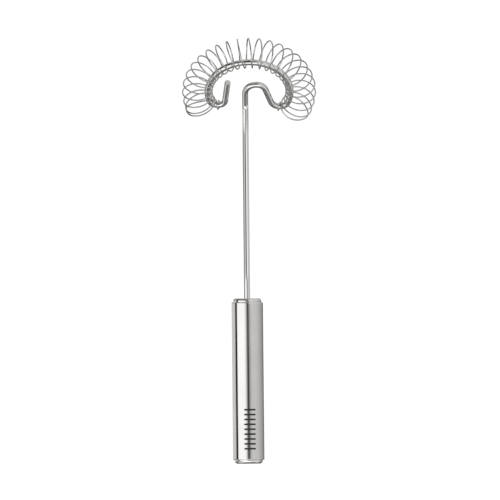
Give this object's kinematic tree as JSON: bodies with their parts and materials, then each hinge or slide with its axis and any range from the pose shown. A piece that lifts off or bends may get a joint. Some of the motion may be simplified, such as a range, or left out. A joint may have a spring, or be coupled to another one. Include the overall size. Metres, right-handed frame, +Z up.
{
  "type": "coil whisk",
  "caption": "Hand whisk: round tube handle, a long rod bent into a forward-leaning loop, and an open wire coil threaded round the loop.",
  "frame": {"origin": "middle of the flat butt face of the handle, which the whisk stands on", "axes": "+Z up along the handle to the head, -Y the way the head leans, +X to the right seen from the front"},
  "size_m": [0.0853, 0.0508, 0.2705],
  "materials": {
    "handle_steel": "polished stainless steel",
    "rod_steel": "polished stainless steel rod",
    "coil_steel": "bright drawn spring wire",
    "plug_plastic": "moulded, dull"
  },
  "bodies": {
    "handle": {"handle_tube": "handle_steel", "top_cap": "handle_steel", "end_cap": "handle_steel", "upper_plug": "plug_plastic", "lower_plug": "plug_plastic", "whisk_rod": "rod_steel"},
    "coil": {"whisk_coil": "coil_steel"}
  },
  "joints": [
    {"name": "coil_rock", "type": "hinge", "parent": "handle", "child": "coil", "pos_m": [0.00213, 0.00002, 0.22748], "axis": [0.9989, 0.0324, -0.0324], "range_deg": [-0.5, 5], "stiffness_Nm_per_rad": 0.12, "springref_deg": -0.58}
  ]
}
